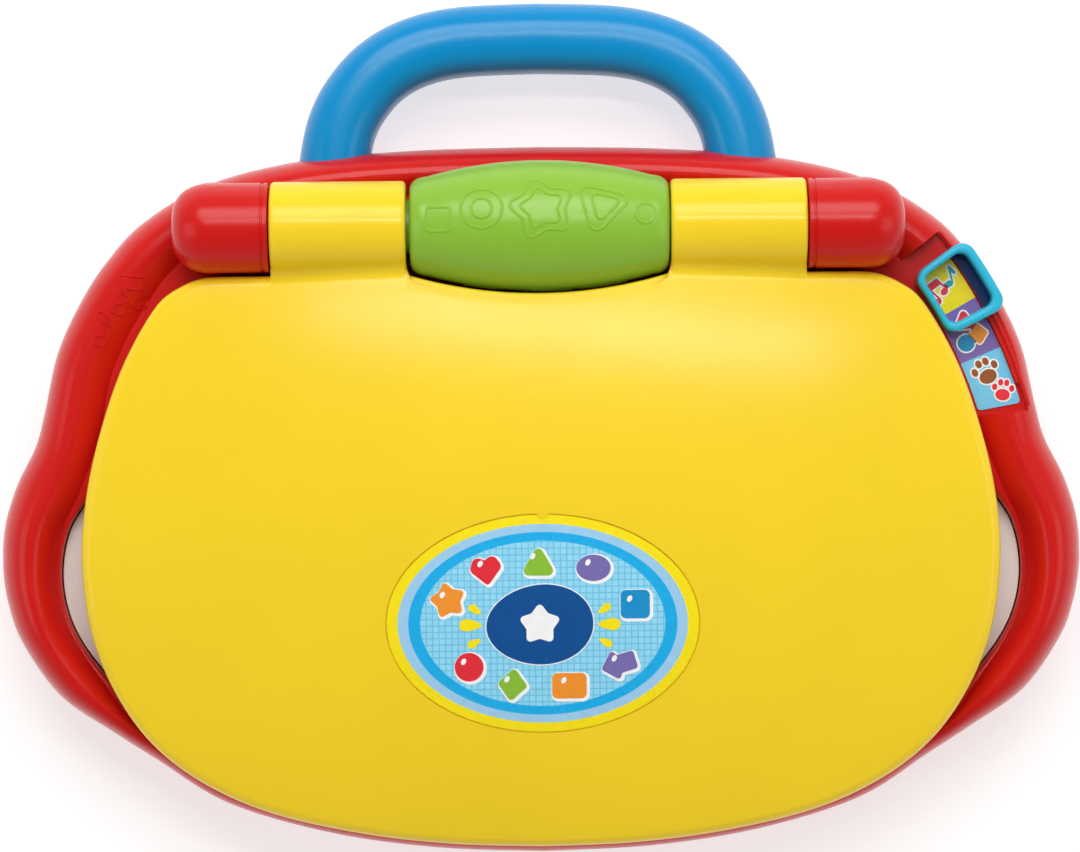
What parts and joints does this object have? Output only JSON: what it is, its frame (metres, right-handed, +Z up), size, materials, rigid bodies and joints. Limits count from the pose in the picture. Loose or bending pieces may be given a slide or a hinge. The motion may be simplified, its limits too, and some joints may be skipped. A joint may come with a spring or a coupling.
{
  "type": "toy laptop computer",
  "caption": "Toy laptop with a hinged yellow lid, red body, blue carrying handle, green roller in the hinge, sliding mode ring, shape keys and a sliding mouse.",
  "frame": {"origin": "under the middle of the closed toy, on the surface that it stands on", "axes": "+X across the toy to its right, +Y from the front edge to the hinge and handle, +Z up"},
  "size_m": [0.3, 0.2366, 0.0661],
  "materials": {
    "red_plastic": "gloss, fine moulded surface",
    "yellow_plastic": "gloss, fine moulded surface",
    "blue_plastic": "satin gloss",
    "light_blue_plastic": "gloss",
    "green_plastic": "satin gloss",
    "white_plastic": "fine texture",
    "pink_red_plastic": "gloss",
    "orange_plastic": "gloss",
    "purple_plastic": "gloss",
    "grey_plastic": "matte",
    "keyboard_label_print": "printed film",
    "mode_label_print": "printed film",
    "badge_print": "printed film",
    "screen_print": "printed card",
    "clear_window": "clear plastic",
    "cable_sheath": "matte",
    "silicone": "matte",
    "circuit_board": "solder mask",
    "speaker_steel": "stamped steel",
    "brass_contact": "bright",
    "battery_foil": "printed foil",
    "screw_steel": "bright zinc",
    "foot_rubber": "matte"
  },
  "bodies": {
    "base": {"base_lower_shell": "red_plastic", "base_upper_frame": "red_plastic", "battery_cover": "red_plastic", "keyboard_deck": "white_plastic", "keyboard_label": "keyboard_label_print", "handle_front_half": "blue_plastic", "handle_rear_half": "blue_plastic", "mode_label": "mode_label_print", "volume_switch_body": "grey_plastic", "base_cable": "cable_sheath", "key_contact_sheet": "silicone", "main_circuit_board": "circuit_board", "mode_switch_board": "circuit_board", "speaker": "speaker_steel", "roller_contact": "brass_contact", "battery_1": "battery_foil", "battery_2": "battery_foil", "battery_cover_screw": "screw_steel", "battery_spring_1": "screw_steel", "battery_plate_1": "screw_steel", "battery_spring_2": "screw_steel", "battery_plate_2": "screw_steel", "base_screw_left_1": "screw_steel", "base_screw_left_2": "screw_steel", "base_screw_left_3": "screw_steel", "foot_rear_left": "foot_rubber", "foot_front_left": "foot_rubber", "base_screw_right_1": "screw_steel", "base_screw_right_2": "screw_steel", "base_screw_right_3": "screw_steel", "foot_rear_right": "foot_rubber", "foot_front_right": "foot_rubber"},
    "lid": {"lid_outer_shell": "yellow_plastic", "lid_inner_panel": "white_plastic", "screen_window": "clear_window", "screen_picture": "screen_print", "screen_bezel": "blue_plastic", "lid_led_board": "circuit_board", "lid_badge": "badge_print", "lid_cable": "cable_sheath", "lid_screw_left_1": "screw_steel", "lid_screw_left_2": "screw_steel", "lid_screw_right_1": "screw_steel", "lid_screw_right_2": "screw_steel"},
    "roller": {"roller": "green_plastic"},
    "mode_slider": {"mode_slider": "light_blue_plastic", "mode_wiper": "grey_plastic"},
    "mouse": {"mouse": "orange_plastic", "mouse_carriage": "white_plastic"},
    "volume_knob": {"volume_knob": "purple_plastic"},
    "key_heart": {"key_heart": "pink_red_plastic"},
    "key_triangle": {"key_triangle": "green_plastic"},
    "key_star": {"key_star": "orange_plastic"},
    "key_oval": {"key_oval": "purple_plastic"},
    "key_square": {"key_square": "blue_plastic"},
    "key_circle": {"key_circle": "pink_red_plastic"},
    "key_diamond": {"key_diamond": "green_plastic"},
    "key_rectangle": {"key_rectangle": "orange_plastic"},
    "key_arrow": {"key_arrow": "purple_plastic"}
  },
  "joints": [
    {"name": "lid_hinge", "type": "hinge", "parent": "base", "child": "lid", "pos_m": [0, 0.055, 0.048], "axis": [-1, 0, 0], "range_deg": [0, 115]},
    {"name": "roller_spin", "type": "hinge", "parent": "base", "child": "roller", "pos_m": [0, 0.055, 0.048], "axis": [1, 0, 0], "continuous": true},
    {"name": "mode_slide", "type": "hinge", "parent": "base", "child": "mode_slider", "pos_m": [0.0027, -0.032, 0.034], "axis": [0, 0, -1], "range_deg": [-1.2, 10.8]},
    {"name": "mouse_slide", "type": "slide", "parent": "base", "child": "mouse", "axis": [1, 0, 0], "range_m": [-0.018, 0.018]},
    {"name": "volume_slide", "type": "slide", "parent": "base", "child": "volume_knob", "axis": [1, 0, 0], "range_m": [-0.004, 0.004]},
    {"name": "key_heart_press", "type": "slide", "parent": "base", "child": "key_heart", "axis": [0, 0, -1], "range_m": [0, 0.002], "stiffness_N_per_m": 300, "springref_m": -0.001},
    {"name": "key_triangle_press", "type": "slide", "parent": "base", "child": "key_triangle", "axis": [0, 0, -1], "range_m": [0, 0.002], "stiffness_N_per_m": 300, "springref_m": -0.001},
    {"name": "key_star_press", "type": "slide", "parent": "base", "child": "key_star", "axis": [0, 0, -1], "range_m": [0, 0.002], "stiffness_N_per_m": 300, "springref_m": -0.001},
    {"name": "key_oval_press", "type": "slide", "parent": "base", "child": "key_oval", "axis": [0, 0, -1], "range_m": [0, 0.002], "stiffness_N_per_m": 300, "springref_m": -0.001},
    {"name": "key_square_press", "type": "slide", "parent": "base", "child": "key_square", "axis": [0, 0, -1], "range_m": [0, 0.002], "stiffness_N_per_m": 300, "springref_m": -0.001},
    {"name": "key_circle_press", "type": "slide", "parent": "base", "child": "key_circle", "axis": [0, 0, -1], "range_m": [0, 0.002], "stiffness_N_per_m": 300, "springref_m": -0.001},
    {"name": "key_diamond_press", "type": "slide", "parent": "base", "child": "key_diamond", "axis": [0, 0, -1], "range_m": [0, 0.002], "stiffness_N_per_m": 300, "springref_m": -0.001},
    {"name": "key_rectangle_press", "type": "slide", "parent": "base", "child": "key_rectangle", "axis": [0, 0, -1], "range_m": [0, 0.002], "stiffness_N_per_m": 300, "springref_m": -0.001},
    {"name": "key_arrow_press", "type": "slide", "parent": "base", "child": "key_arrow", "axis": [0, 0, -1], "range_m": [0, 0.002], "stiffness_N_per_m": 300, "springref_m": -0.001}
  ]
}
